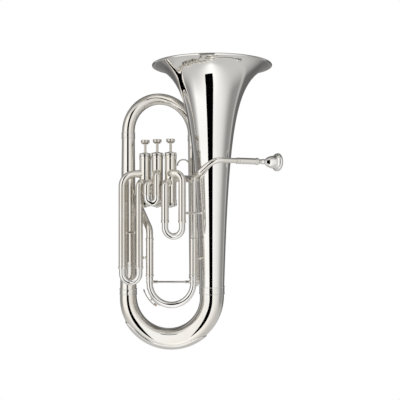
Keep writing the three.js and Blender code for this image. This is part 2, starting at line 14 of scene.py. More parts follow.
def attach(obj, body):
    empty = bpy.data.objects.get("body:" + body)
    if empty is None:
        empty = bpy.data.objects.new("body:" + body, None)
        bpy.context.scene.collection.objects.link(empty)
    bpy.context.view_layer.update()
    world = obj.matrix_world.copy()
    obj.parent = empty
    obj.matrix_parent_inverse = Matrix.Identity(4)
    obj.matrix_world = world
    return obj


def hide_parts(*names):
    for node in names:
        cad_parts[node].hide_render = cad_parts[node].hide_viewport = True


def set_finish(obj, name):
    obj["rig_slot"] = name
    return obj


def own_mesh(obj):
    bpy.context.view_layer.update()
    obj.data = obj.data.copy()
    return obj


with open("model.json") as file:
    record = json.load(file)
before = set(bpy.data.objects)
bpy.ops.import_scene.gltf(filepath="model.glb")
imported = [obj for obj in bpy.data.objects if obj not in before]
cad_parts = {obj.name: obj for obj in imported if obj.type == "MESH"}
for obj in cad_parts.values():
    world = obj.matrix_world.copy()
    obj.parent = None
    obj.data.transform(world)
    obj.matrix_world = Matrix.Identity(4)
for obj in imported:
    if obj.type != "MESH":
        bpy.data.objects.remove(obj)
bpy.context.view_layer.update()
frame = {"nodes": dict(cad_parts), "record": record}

# ---- Dimensions shared with the CAD model ----

GAP = 0.3  # between pieces that are soldered or rest on each other
BELL_X = 80.7
RIM_RADIUS = 115.5
RIM_Z = 548.5
FLARE_LENGTH = 25  # with FLARE_POWER, how fast the bell narrows below its rim
FLARE_POWER = 0.545
SHEET = 0.8  # wall of the bell, the bows and the branches
BRANCH_X = -80.5
BOW_Z = 102.05  # height of the bottom bow's centre
BOW_RADIUS = (BELL_X - BRANCH_X) / 2
BELL_JOINT_Z = 115
BRANCH_JOINT_Z = 112
TOP_JOINT_Z = 412
TOP_BOW_Z = 418.7
RISER = (43, 57)
DOWN_TUBE = (52.4, 29)  # the tube that comes down from the first valve
REAR_BOW_Z = 137.5
# The main tube's outer radius at the branch's two ends, at the top of the riser and in the rear bow.
BRANCH_FOOT = 15.9
BRANCH_TOP = 12.4
RISER_TOP = 9.5
REAR_RADIUS = 6.9

LEG_RADIUS = 6  # a slide's moving leg
LEG_BORE = 5.4
SLEEVE_RADIUS = 6.9  # the fixed sleeve round the leg
SLEEVE_BORE = 6.35

CASING_RADIUS = 10.9
CASING_BORE = 10
CASING_Z = (283, 371)
CAP_RADIUS = 12
CAP_TOP_Z = 378.5
CAP_BOTTOM_Z = 273.5
PISTON_TOP_Z = 362
STEM_RADIUS = 2.4
BUTTON_RADIUS = 8.3
BUTTON_Z = (396.8, 402.6)
HIGH_PORT_Z = 337.7
LOW_PORT_Z = 320.5
MAIN_PORT_Z = 305
EXIT_PORT_Z = 329
SPRING_Z = (277.9, 298.1)

VALVES = {"first": (2.6, -37.5), "second": (-23.1, -28), "third": (-47, -12)}
# A slide's two legs, the lower ends of its sleeves, the height where its bow starts and the tops of its legs.
SLIDES = {
    "first": {"left": (-7, -56.4), "right": (24.8, -56.4), "sleeve": 246, "bow": 236.7, "leg": 300},
    "second": {"left": (-41.5, -45), "right": (-22.3, -47), "sleeve": 297, "bow": 292.1, "leg": 309},
    "third": {"left": (-89.1, -28), "right": (-57, -28), "sleeve": 158.4, "bow": 149, "leg": 240},
    "tuning": {"left": (-37.6, -24), "right": (45, -24), "sleeve": 143, "bow": 130.7, "leg": 206, "top": 216},
}
RECEIVER_END = Vector((168.3, -12, 361.7))
LEADPIPE_FRONT = Vector((83.4, -50, 362.8))
LEADPIPE_BEND = 34
RECEIVER_LENGTH = 46
GOOSENECK_ENTRY = (-62, 13)
EXIT_BEND = (24, -22)
FIRST_HIGH_BEND = (5, -50)

BODY_OF = {node: body for body, nodes in frame["record"]["behaviour"]["bodies"].items() for node in nodes}
SLOT_OF = {part["node"]: part["material_slot"] for part in frame["record"]["subparts"]}


# ---- Materials ----

def new_material(name):
    material = bpy.data.materials.new(name)
    material.use_nodes = True
    tree = material.node_tree
    return material, tree, tree.nodes["Principled BSDF"]


def noise(tree, scale, detail=4.0, stretch=(1, 1, 1)):
    """A noise texture in the object's own coordinates, in metres."""
    coordinates = tree.nodes.new("ShaderNodeTexCoord")
    mapping = tree.nodes.new("ShaderNodeMapping")
    mapping.inputs["Scale"].default_value = stretch
    texture = tree.nodes.new("ShaderNodeTexNoise")
    texture.inputs["Scale"].default_value = scale
    texture.inputs["Detail"].default_value = detail
    tree.links.new(coordinates.outputs["Object"], mapping.inputs["Vector"])
    tree.links.new(mapping.outputs["Vector"], texture.inputs["Vector"])
    return texture.outputs["Fac"]


def ramp(tree, value, stops):
    """A colour that blends between two (position, colour) stops."""
    node = tree.nodes.new("ShaderNodeValToRGB")
    for element, (position, color) in zip(node.color_ramp.elements, stops):
        element.position = position
        element.color = (*color, 1)
    tree.links.new(value, node.inputs["Fac"])
    return node.outputs["Color"]


def spread(tree, value, low, high):
    """The value, which lies between 0 and 1, stretched to between low and high."""
    node = tree.nodes.new("ShaderNodeMapRange")
    node.inputs["To Min"].default_value = low
    node.inputs["To Max"].default_value = high
    tree.links.new(value, node.inputs["Value"])
    return node.outputs["Result"]


def bump(tree, shader, height, distance, strength):
    node = tree.nodes.new("ShaderNodeBump")
    node.inputs["Distance"].default_value = distance
    node.inputs["Strength"].default_value = strength
    tree.links.new(height, node.inputs["Height"])
    tree.links.new(node.outputs["Normal"], shader.inputs["Normal"])


def plated(name, clean, aged, roughness, ripple=0.02):
    """Polished metal: broad clouds of faint tarnish, fine buffing marks and a trace of hand-worked ripple."""
    material, tree, shader = new_material(name)
    shader.inputs["Metallic"].default_value = 1
    tree.links.new(ramp(tree, noise(tree, 14, 5), [(0.35, clean), (0.75, aged)]), shader.inputs["Base Color"])
    marks = noise(tree, 90, 8, (1, 1, 6))
    tree.links.new(spread(tree, marks, *roughness), shader.inputs["Roughness"])
    bump(tree, shader, noise(tree, 45, 2), 0.0004, ripple)
    return material


def dull(name, light, dark, roughness, scale, metallic=0.0, strength=0.3):
    """A grained material without plating."""
    material, tree, shader = new_material(name)
    shader.inputs["Metallic"].default_value = metallic
    grain = noise(tree, scale, 6)
    tree.links.new(ramp(tree, grain, [(0.35, dark), (0.65, light)]), shader.inputs["Base Color"])
    tree.links.new(spread(tree, grain, *roughness), shader.inputs["Roughness"])
    bump(tree, shader, grain, 0.0002, strength)
    return material


MATERIALS = {
    "silver": plated("Silver_plate", (0.92, 0.90, 0.865), (0.84, 0.80, 0.73), (0.012, 0.05), 0.008),
    "bright_silver": plated(
        "Mirror_silver_plate", (0.95, 0.94, 0.92), (0.90, 0.885, 0.86), (0.008, 0.035), 0.006
    ),
    "nickel": plated("Ferrule_silver", (0.90, 0.885, 0.855), (0.81, 0.79, 0.75), (0.04, 0.1)),
    "button": plated("Button_silver", (0.84, 0.81, 0.76), (0.68, 0.64, 0.57), (0.06, 0.16)),
    # Painted shade: a darker copy of the silver plate, for the thumb ring and the water key's lever.
    "shaded_silver": plated("Shaded_silver_plate", (0.60, 0.58, 0.54), (0.40, 0.38, 0.34), (0.08, 0.2)),
    "steel": dull("Ground_steel", (0.62, 0.61, 0.59), (0.5, 0.49, 0.47), (0.22, 0.38), 300, 1.0, 0.1),
    "cork": dull("Cork", (0.52, 0.36, 0.2), (0.3, 0.18, 0.09), (0.75, 0.95), 700),
    "felt": dull("Felt_washer", (0.55, 0.5, 0.42), (0.4, 0.35, 0.28), (0.9, 1.0), 900),
}


# ---- Centre lines ----

class Route:
    """A line through corners (x, y, z), with a round bend at each inner corner (x, y, z, radius)."""

    def __init__(self, corners, step=math.radians(5)):
        points = [Vector(c[:3]) for c in corners]
        self.points, self.tangents = [points[0]], [(points[1] - points[0]).normalized()]
        for i in range(1, len(points) - 1):
            into = (points[i] - points[i - 1]).normalized()
            out = (points[i + 1] - points[i]).normalized()
            turn, radius = into.angle(out), corners[i][3]
            start = points[i] - into * radius * math.tan(turn / 2)
            axis = into.cross(out).normalized()
            centre = start + axis.cross(into) * radius
            steps = max(2, round(turn / step))
            for s in range(steps + 1):
                turned = Quaternion(axis, turn * s / steps)
                self.put(centre + turned @ (start - centre), turned @ into)
        self.put(points[-1], (points[-1] - points[-2]).normalized())
        self.measure(Vector((0, 0, 1)) if abs(self.tangents[0].x) > 0.9 else Vector((1, 0, 0)))

    @classmethod
    def through(cls, points):
        """A line through closely spaced points."""
        line = cls.__new__(cls)
        spans = [points[1] - points[0], *[b - a for a, b in zip(points, points[2:])], points[-1] - points[-2]]
        line.points = points
        line.tangents = [span.normalized() for span in spans]
        line.measure(Vector((0, 0, 1)) if abs(line.tangents[0].z) < 0.9 else Vector((1, 0, 0)))
        return line

    def measure(self, side):
        """Sets each point's distance along the line, and normals without twist that start towards side."""
        self.at = [0.0]
        for a, b in zip(self.points, self.points[1:]):
            self.at.append(self.at[-1] + (b - a).length)
        self.length = self.at[-1]
        first = self.tangents[0]
        self.normals = [(side - first * side.dot(first)).normalized()]
        for a, b in zip(self.tangents, self.tangents[1:]):
            self.normals.append(a.rotation_difference(b) @ self.normals[-1])

    def put(self, point, tangent):
        if (point - self.points[-1]).length > 0.01:
            self.points.append(point)
            self.tangents.append(tangent)

    def frame(self, at):
        """The point, the normal and the direction across both, at a distance along the line.

        Past its ends the line runs straight on.
        """
        i = int(np.clip(np.searchsorted(self.at, at, side="right") - 1, 0, len(self.at) - 2))
        share = min(1, max(0, (at - self.at[i]) / (self.at[i + 1] - self.at[i])))
        tangent = self.tangents[i].lerp(self.tangents[i + 1], share).normalized()
        normal = self.normals[i].lerp(self.normals[i + 1], share).normalized()
        point = self.points[i].lerp(self.points[i + 1], share)
        overrun = at - min(max(at, 0), self.length)
        return point + tangent * overrun, normal, tangent.cross(normal)


def u_route(a, b, top, low, **options):
    """Down one leg and up the other; low is the height where the bend starts."""
    radius = math.dist(a, b) / 2
    turn = low - radius if top >= low else low + radius
    return Route([(*a, top), (*a, turn, radius), (*b, turn, radius), (*b, top)], **options)


def straight(a, b):
    return Route([a, b])


# ---- Shapes ----

def soften(outline, radius, steps=3):
    """The closed outline with its corners rounded, apart from those on the axis."""
    rounded = []
    count = len(outline)
    for i, corner in enumerate(outline):
        here = np.array(corner, float)
        before, after = np.array(outline[i - 1], float), np.array(outline[(i + 1) % count], float)
        reach = min(radius, 0.45 * np.linalg.norm(before - here), 0.45 * np.linalg.norm(after - here))
        if corner[0] <= 0 or reach < 0.01:
            rounded.append(tuple(here))
            continue
        start = here + (before - here) / np.linalg.norm(before - here) * reach
        end = here + (after - here) / np.linalg.norm(after - here) * reach
        for s in range(steps + 1):
            t = s / steps
            rounded.append(tuple((1 - t) ** 2 * start + 2 * t * (1 - t) * here + t * t * end))
    return rounded


def follow(outline, stops):
    """The closed outline with a point added wherever it passes a stop."""
    fine = []
    for (r0, a0), (r1, a1) in zip(outline, [*outline[1:], outline[0]]):
        fine.append((r0, a0))
        inside = [a for a in stops if min(a0, a1) + 0.01 < a < max(a0, a1) - 0.01]
        for a in sorted(inside, reverse=bool(a0 > a1)):
            fine.append((r0 + (r1 - r0) * (a - a0) / (a1 - a0), a))
    return fine


class Shape:
    """Closed surfaces gathered into one mesh."""

    def __init__(self):
        self.verts, self.faces = [], []

    def grid(self, rings, closed=True):
        """Joins each ring of points to the next, and the last to the first if closed."""
        base = len(self.verts)
        count, width = len(rings), len(rings[0])
        for ring in rings:
            self.verts.extend(ring)
        for i in range(count if closed else count - 1):
            a, b = base + i * width, base + ((i + 1) % count) * width
            for k in range(width):
                n = (k + 1) % width
                self.faces.append((a + k, a + n, b + n, b + k))

    def loft(self, rings):
        """A bar through the rings, with a flat face at each end."""
        base, width = len(self.verts), len(rings[0])
        self.grid(rings, closed=False)
        self.faces.append(tuple(range(base, base + width)))
        self.faces.append(tuple(range(len(self.verts) - width, len(self.verts))))
        return self

    def flow(self, route, outline, sides=40, knurl=None, saddle=None):
        """Turns a closed outline of (radius, distance along the route) about the route.

        knurl is (low, high, teeth, depth), a milled band. saddle is (x, y, radius) of an upright
        cylinder that the route's start is fitted to.
        """
        low, high, teeth, depth = knurl or (0, 0, 0, 0)
        if knurl:
            sides = teeth * 4
        rings = []
        for radius, at in follow(outline, route.at):
            point, normal, across = route.frame(at)
            ring = []
            for k in range(sides):
                angle = 2 * math.pi * k / sides
                reach = radius
                if knurl and low <= at <= high and k % 4 >= 2:
                    reach -= depth
                ring.append(point + (normal * math.cos(angle) + across * math.sin(angle)) * reach)
            if saddle and at < 1e-6:
                ring = [self.seat(v, route.tangents[0], saddle) for v in ring]
            rings.append(ring)
        self.grid(rings)
        return self

    @staticmethod
    def seat(vertex, tangent, saddle):
        """The vertex moved along the tangent on to the saddle's cylinder."""
        x, y, radius = saddle
        offset = Vector((vertex.x - x, vertex.y - y, 0))
        along = offset.dot(tangent)
        lateral = offset - tangent * along
        return vertex + tangent * (math.sqrt(max(0, radius**2 - lateral.length_squared)) - along)

    def lathe(self, outline, origin, axis=(0, 0, 1), sides=48, soft=0.3, knurl=None):
        """Turns a closed outline of (radius, distance along the axis) about the axis, its corners rounded."""
        start = Vector(origin)
        length = max(z for _, z in outline)
        low = min(0, min(z for _, z in outline))
        line = straight(start + Vector(axis) * low, start + Vector(axis) * max(length, low + 1))
        moved = [(r, z - low) for r, z in soften(outline, soft)]
        band = knurl and (knurl[0] - low, knurl[1] - low, knurl[2], knurl[3])
        return self.flow(line, moved, sides, band)

    def wire(self, route, radius, sides=16):
        """A round rod with domed ends."""
        dome = [(radius * math.sin(t), radius * (1 - math.cos(t))) for t in np.linspace(0, math.pi / 2, 6)]
        far = [(r, route.length - a) for r, a in reversed(dome)]
        return self.flow(route, [*dome, *far], sides)


def piece(node, shape, slot=None, crease=32, name=None):
    """Makes the shape a piece that stands for a CAD node and moves with its body."""
    mesh = bpy.data.meshes.new(name or node.capitalize())
    mesh.from_pydata([tuple(v * 0.001) for v in shape.verts], [], shape.faces)
    work = bmesh.new()
    work.from_mesh(mesh)
    bmesh.ops.remove_doubles(work, verts=work.verts, dist=1e-6)
    bmesh.ops.dissolve_degenerate(work, edges=work.edges, dist=1e-7)
    bmesh.ops.recalc_face_normals(work, faces=work.faces)
    for face in work.faces:
        face.smooth = True
    work.to_mesh(mesh)
    work.free()
    mesh.set_sharp_from_angle(angle=math.radians(crease))
    mesh.materials.append(MATERIALS[slot or SLOT_OF[node]])
    made = bpy.data.objects.new(mesh.name, mesh)
    bpy.context.collection.objects.link(made)
    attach(made, BODY_OF[node])
    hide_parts(node)
    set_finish(made, SLOT_OF[node])
    return made


def pipe_outline(length, outer, wall, end_radius=None):
    """A tube's outline with bevelled ends; end_radius is the outer radius at its far end."""
    end = outer if end_radius is None else end_radius
    lip = 0.35
    return [
        (outer - wall, 0.0), (outer - lip, 0.0), (outer, lip), (end, length - lip), (end - lip, length),
        (end - wall, length),
    ]


def collar(bore, radius, low, high, bead=0.5):
    """A ferrule's outline, with a raised bead at each end."""
    inset = min(1.6, (high - low) / 4)
    return [
        (bore, low), (radius + bead, low), (radius + bead, low + inset * 0.8), (radius, low + inset),
        (radius, high - inset), (radius + bead, high - inset * 0.8), (radius + bead, high), (bore, high),
    ]


# ---- Bell and main branches ----

def bell_radius(z):
    return RIM_RADIUS * (FLARE_LENGTH / (RIM_Z - z + FLARE_LENGTH)) ** FLARE_POWER


def build_bell():
    bead = 2.3  # radius of the rolled rim
    low = BELL_JOINT_Z + GAP
    heights = low + (RIM_Z - bead - 0.5 - low) * (1 - (1 - np.linspace(0, 1, 110)) ** 2.4)
    outside = [(bell_radius(z), z) for z in heights]
    inside = []
    for r, z in outside:
        slope = (bell_radius(z + 0.1) - bell_radius(z - 0.1)) / 0.2
        length = math.hypot(1, slope)
        inside.append((r - SHEET / length, z + SHEET * slope / length))
    inside[0] = (outside[0][0] - SHEET, low)
    centre = (RIM_RADIUS - bead, RIM_Z - bead)
    roll = [
        (centre[0] + bead * math.sin(t), centre[1] - bead * math.cos(t))
        for t in np.linspace(math.radians(-10), math.radians(232), 26)
    ]
    body = Shape()
    line = straight((BELL_X, 0, 0), (BELL_X, 0, RIM_Z))
    body.flow(line, [*outside, *roll, *reversed(inside)], 160)
    piece("bell", body, crease=60)
    tail = bell_radius(BELL_JOINT_Z)
    ring = collar(tail + 0.1, tail + 0.7, BELL_JOINT_Z - 7.6, BELL_JOINT_Z + 7.6, 0.45)
    piece("bell_ferrule", Shape().flow(line, soften(ring, 0.3), 128))


def bow_radius(share):
    """The bottom bow's outer radius at a share of its length."""
    return BRANCH_FOOT + (bell_radius(BELL_JOINT_Z) - BRANCH_FOOT) * share


def build_bottom_bow():
    turn_z = BOW_Z - BOW_RADIUS
    line = Route(
        [
            (BRANCH_X, 0, BRANCH_JOINT_Z - GAP), (BRANCH_X, 0, turn_z, BOW_RADIUS),
            (BELL_X, 0, turn_z, BOW_RADIUS), (BELL_X, 0, BELL_JOINT_Z - GAP),
        ],
        math.radians(2.5),
    )
    outside = [(bow_radius(a / line.length), a) for a in np.linspace(0, line.length, 60)]
    inside = [(r - SHEET, a) for r, a in reversed(outside)]
    piece("bottom_bow", Shape().flow(line, [*outside, *inside], 72))
    build_bow_guard(line)


def build_bow_guard(line):
    """A sheet over the outside of the bow, with round ends and a rolled edge."""
    start, end = BOW_RADIUS * 0.62, BOW_RADIUS * 2.45
    half_width = math.radians(60)
    tongue = 26.0  # length of each round end
    middle = 12  # points from the sheet's centre line to its edge
    rings = []
    for a in np.linspace(start, end, 90):
        point, normal, across = line.frame(a)
        near = min(a - start, end - a)
        width = half_width
        if near <= tongue:
            width = max(half_width * math.sqrt(max(0.0, 1 - (1 - near / tongue) ** 2)), half_width * 0.12)
        radius = bow_radius(a / line.length)
        outer, inner = [], []
        for k in range(2 * middle + 1):
            angle = math.pi + width * (k / middle - 1)
            ray = normal * math.cos(angle) + across * math.sin(angle)
            edge = min(1, (middle - abs(k - middle)) / 1.5)
            fade = min(1, near / 1.2)
            outer.append(point + ray * (radius + 0.35 + 1.35 * math.sqrt(edge * fade)))
            inner.append(point + ray * (radius + 0.12))
        rings.append([*outer, *reversed(inner)])
    piece("bow_guard", Shape().loft(rings))


def build_branches():
    branch = straight((BRANCH_X, 0, BRANCH_JOINT_Z + GAP), (BRANCH_X, 0, TOP_JOINT_Z - GAP))
    pipe = Shape().flow(branch, pipe_outline(branch.length, BRANCH_FOOT - 0.1, SHEET, BRANCH_TOP), 64)
    for z in (162, 260):
        share = (z - BRANCH_JOINT_Z) / (TOP_JOINT_Z - BRANCH_JOINT_Z)
        radius = BRANCH_FOOT + (BRANCH_TOP - BRANCH_FOOT) * share
        pipe.lathe(collar(radius - 0.1, radius + 0.7, 0, 3.4, 0.4), (BRANCH_X, 0, z - 1.7), sides=64)
    piece("outer_branch", pipe)
    reach = math.dist((BRANCH_X, 0), RISER) / 2
    crown = TOP_BOW_Z + reach
    corners = [
        (BRANCH_X, 0, TOP_JOINT_Z + GAP), (BRANCH_X, 0, crown, reach), (*RISER, crown, reach),
        (*RISER, TOP_JOINT_Z + GAP),
    ]
    top = Route(corners, math.radians(3))
    piece("top_bow", Shape().flow(top, pipe_outline(top.length, BRANCH_TOP, SHEET, RISER_TOP), 64))
    riser = straight((*RISER, REAR_BOW_Z + GAP), (*RISER, TOP_JOINT_Z - GAP))
    piece("rear_riser", Shape().flow(riser, pipe_outline(riser.length, REAR_RADIUS, SHEET, RISER_TOP), 56))
    rear = u_route(RISER, DOWN_TUBE, REAR_BOW_Z, REAR_BOW_Z)
    outline = pipe_outline(rear.length, REAR_RADIUS, SHEET, SLEEVE_RADIUS - 0.1)
    bow = Shape().flow(rear, outline, 48)
    for point in (RISER, DOWN_TUBE):
        bow.lathe(collar(7.0, 7.4, 0, 7), (*point, REAR_BOW_Z - 6.8), sides=48)
    piece("rear_bow", bow)
    half = 5.7  # half a ferrule's height
    for node, (x, y), z, radius in (
        ("branch_ferrule_lower", (BRANCH_X, 0), BRANCH_JOINT_Z, BRANCH_FOOT),
        ("branch_ferrule_upper", (BRANCH_X, 0), TOP_JOINT_Z, BRANCH_TOP),
        ("top_bow_ferrule", RISER, TOP_JOINT_Z, RISER_TOP),
    ):
        ferrule = collar(radius + 0.1, radius + 0.6, 0, 2 * half, 0.4)
        piece(node, Shape().lathe(ferrule, (x, y, z - half), sides=72))


# ---- Valves ----

def build_casing(name, x, y):
    low, high = CASING_Z
    height = high - low
    band = 11.4  # radius of the thicker band at each end
    outline = [
        (CASING_BORE, 0), (band, 0), (band, 5), (CASING_RADIUS, 5.6), (CASING_RADIUS, height - 5.6),
        (band, height - 5), (band, height), (CASING_BORE, height),
    ]
    piece(f"{name}_valve_casing", Shape().lathe(outline, (x, y, low), sides=72))


def build_caps(name, x, y):
    """The top and bottom caps, each with a milled band."""
    teeth, tooth = 44, 0.45
    base = CASING_Z[1] + GAP
    height = CAP_TOP_Z - base
    hole = STEM_RADIUS + 0.5
    top = [
        (hole, 0), (CAP_RADIUS, 0), (CAP_RADIUS, 3.8), (11.2, 4.6), (10.7, height - 1.8), (9.2, height - 1.1),
        (5.2, height - 0.7), (4.6, height), (hole, height),
    ]
    shape = Shape().lathe(top, (x, y, base), soft=0.35, knurl=(0.3, 3.9, teeth, tooth))
    piece(f"{name}_top_cap", shape, crease=25)
    bottom = [
        (0, 0), (2.2, 0), (3.0, 1.0), (7.6, 2.2), (10.9, 3.6), (CAP_RADIUS, 4.6), (CAP_RADIUS, 9.2),
        (CASING_BORE, 9.2), (CASING_BORE, 5.5), (8.6, 3.9), (0, 3.9),
    ]
    shape = Shape().lathe(bottom, (x, y, CAP_BOTTOM_Z), soft=0.4, knurl=(4.4, 9.0, teeth, tooth))
    piece(f"{name}_bottom_cap", shape, crease=25)


def build_button(name, x, y):
    """A stem with a flat grooved disc on top, and a felt washer under the disc."""
    under, crown = BUTTON_Z
    start = PISTON_TOP_Z + GAP
    disc, face = under - start, crown - start
    edge = BUTTON_RADIUS
    outline = [
        (0, 0), (5.4, 0), (5.4, 1.8), (STEM_RADIUS, 3), (STEM_RADIUS, disc - 0.6), (3.2, disc),
        (edge - 0.9, disc), (edge, disc + 0.7), (edge, disc + 1.7), (edge - 0.35, disc + 2.1),
        (edge - 0.35, disc + 2.6), (edge, disc + 3), (edge, face - 0.7), (edge - 0.7, face),
        (edge - 1.7, face), (6.0, face - 0.6), (0, face - 0.8),
    ]
    piece(f"{name}_valve_button", Shape().lathe(outline, (x, y, start)))
    hole, radius, thickness = STEM_RADIUS + 0.15, 6.0, 1.4
    ring = [(hole, 0), (radius, 0), (radius, thickness), (hole, thickness)]
    felt = Shape().lathe(ring, (x, y, under - 1.9))
    washer = piece(f"{name}_valve_button", felt, "felt", name=f"{name.capitalize()}_felt_washer")
    washer["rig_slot"] = "cork"


def build_spring(name, x, y):
    """A compression spring, a coil of wire with a mesh of its own."""
    low, high = SPRING_Z
    wire, coil, turns = 0.5, 7, 6
    angles = np.linspace(0, 2 * math.pi * turns, turns * 20)
    heights = np.linspace(low + 0.6, high - 0.6, len(angles))
    line = Route.through([
        Vector((x + coil * math.cos(a), y + coil * math.sin(a), z)) for a, z in zip(angles, heights)
    ])
    spring = piece(f"{name}_valve_spring", Shape().wire(line, wire, 8))
    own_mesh(spring)


def build_valve(name):
    x, y = VALVES[name]
    build_casing(name, x, y)
    build_caps(name, x, y)
    build_button(name, x, y)
    build_spring(name, x, y)


def valve_pipe(node, valve, corners, radius=SLEEVE_RADIUS, bore=LEG_BORE, end_ring=0.0, wide_bore=0.0):
    """A tube that leaves a casing: a collar at the casing and, on a sleeve, a ring at the open end."""
    line = Route(corners)
    length = line.length
    foot = CASING_RADIUS + 3.4
    outline = [(bore, 0), (radius + 0.7, 0), (radius + 0.7, foot), (radius, foot + 0.8)]
    if end_ring:
        ring = radius + 0.6
        outline += [(radius, length - end_ring - 0.4), (ring, length - end_ring), (ring, length)]
        step = length - wide_bore
        outline += [(SLEEVE_BORE, length), (SLEEVE_BORE, step), (bore, step - 0.5)]
    else:
        outline += [(radius, length), (bore, length)]
    shape = Shape().flow(line, soften(outline, 0.25), 44, saddle=(*VALVES[valve], CASING_RADIUS - 0.05))
    return piece(node, shape)


def build_valve_sleeves():
    """The two fixed sleeves of each valve's slide, each from a port of the casing, with its bends."""
    first, second, third = SLIDES["first"], SLIDES["second"], SLIDES["third"]
    bends = {
        ("first", "left"): [(*first["left"], LOW_PORT_Z, 9)],
        ("first", "right"): [(*FIRST_HIGH_BEND, HIGH_PORT_Z, 9), (*first["right"], HIGH_PORT_Z, 15)],
        ("second", "left"): [(*second["left"], LOW_PORT_Z, 9)],
        ("second", "right"): [(*second["right"], HIGH_PORT_Z, 8)],
        ("third", "left"): [(*third["left"], HIGH_PORT_Z, 24)],
        ("third", "right"): [(*third["right"], LOW_PORT_Z, 8)],
    }
    for (valve, side), corners in bends.items():
        slide = SLIDES[valve]
        height = corners[0][2]
        path = [(*VALVES[valve], height), *corners, (*slide[side], slide["sleeve"])]
        ring = 2.6 if valve == "second" else 4.2
        wide_bore = slide["leg"] + 1.5 - slide["sleeve"]
        valve_pipe(f"{valve}_sleeve_{side}", valve, path, end_ring=ring, wide_bore=wide_bore)


def build_slide_bows():
    for valve, slide in SLIDES.items():
        line = u_route(slide["left"], slide["right"], slide["leg"], slide["bow"], step=math.radians(3))
        bow = Shape().flow(line, pipe_outline(line.length, LEG_RADIUS, LEG_RADIUS - LEG_BORE), 44)
        if valve == "tuning":
            for leg in ("left", "right"):
                bow.lathe(collar(6.1, 6.5, 0, 9, 0.4), (*slide[leg], slide["bow"] + 0.6), sides=44)
        piece(f"{valve}_slide_bow", bow)


def build_tuning_sleeves():
    tuning = SLIDES["tuning"]
    length = tuning["top"] - tuning["sleeve"]
    foot, head = SLEEVE_RADIUS + 0.6, SLEEVE_RADIUS + 0.5
    outline = [
        (SLEEVE_BORE, 0), (foot, 0), (foot, 4), (SLEEVE_RADIUS, 4.5), (SLEEVE_RADIUS, length - 5),
        (head, length - 4.6), (head, length), (SLEEVE_BORE, length),
    ]
    for side in ("left", "right"):
        sleeve = Shape().lathe(outline, (*tuning[side], tuning["sleeve"]), sides=48)
        piece(f"tuning_sleeve_{side}", sleeve)


def build_knuckle(node, a, b):
    """The short tube between two neighbouring casings."""
    line = straight((*VALVES[a], MAIN_PORT_Z), (*VALVES[b], MAIN_PORT_Z))
    length = line.length
    bore, radius, band, reach = 5.2, 6.0, 6.6, 9.4
    outline = [
        (bore, reach), (band, reach), (band, 12), (radius, 12.6), (radius, length - 12.6),
        (band, length - 12), (band, length - reach), (bore, length - reach),
    ]
    piece(node, Shape().flow(line, soften(outline, 0.2), 40))


def build_connections():
    build_knuckle("knuckle_first_second", "first", "second")
    build_knuckle("knuckle_second_third", "second", "third")
    exit_tube = [
        (*VALVES["first"], EXIT_PORT_Z), (*EXIT_BEND, EXIT_PORT_Z, 10), (36, 13, EXIT_PORT_Z, 12),
        (*DOWN_TUBE, EXIT_PORT_Z, 14), (*DOWN_TUBE, REAR_BOW_Z + GAP),
    ]
    valve_pipe("valve_exit_tube", "first", exit_tube, SLEEVE_RADIUS - 0.2, LEG_BORE + 0.4)
    tuning = SLIDES["tuning"]
    gooseneck = [
        (*VALVES["third"], MAIN_PORT_Z), (*GOOSENECK_ENTRY, MAIN_PORT_Z, 11), (-60.5, 12.5, 276, 24),
        (*tuning["left"], 232, 20), (*tuning["left"], tuning["top"] + GAP),
    ]
    valve_pipe("gooseneck", "third", gooseneck, SLEEVE_RADIUS - 0.4)


# ---- Leadpipe and mouthpiece ----

def build_leadpipe():
    along = (RECEIVER_END - LEADPIPE_FRONT).normalized()
    start = RECEIVER_END - along * RECEIVER_LENGTH
    tuning = SLIDES["tuning"]
    line = Route(
        [
            tuple(start + along * 12), (*LEADPIPE_FRONT, LEADPIPE_BEND), (57, -38, 340.3, 20),
            (*tuning["right"], 330, 14), (*tuning["right"], tuning["top"] + GAP),
        ],
        math.radians(3),
    )
    piece("leadpipe", Shape().flow(line, pipe_outline(line.length, 4.7, 0.8, 6.3), 44))
    receiver = [
        (5.1, 0), (5.9, 0), (6.0, 1), (6.0, 6), (5.8, 6.6), (5.8, 7.4), (6.0, 8), (6.0, 40.6), (6.3, 41),
        (6.3, 42.2), (6.9, 42.8), (6.9, 45), (6.4, RECEIVER_LENGTH), (5.6, RECEIVER_LENGTH),
    ]
    piece("mouthpiece_receiver", Shape().lathe(receiver, start, along, sides=56, soft=0.25))
    outline = [
        (3.6, -24), (4.75, -24), (4.95, 0.6), (4.7, 1.2), (4.35, 4.5), (4.4, 8), (5.0, 9.2), (5.3, 10.6),
        (5.3, 12), (4.9, 13.2), (4.7, 14.2), (5.3, 16.4), (7.2, 18.9), (9.0, 21.4), (10.8, 25.4),
        (11.9, 29.2), (12.4, 33), (12.5, 36), (13.4, 37.1), (15.4, 38.4), (16.9, 40.2), (17.5, 42.2),
        (17.5, 44), (16.9, 45.5), (15.8, 46.5), (14.7, 46.8), (13.7, 46.3), (13.1, 45.2), (12.7, 42),
        (11.9, 36.6), (10.6, 31.6), (8.4, 27.4), (5.6, 24), (3.4, 21.4), (2.9, 19.6), (2.9, 17),
    ]
    piece("mouthpiece", Shape().lathe(outline, RECEIVER_END, along, sides=96, soft=0.8), crease=50)


# ---- Braces and thumb ring ----

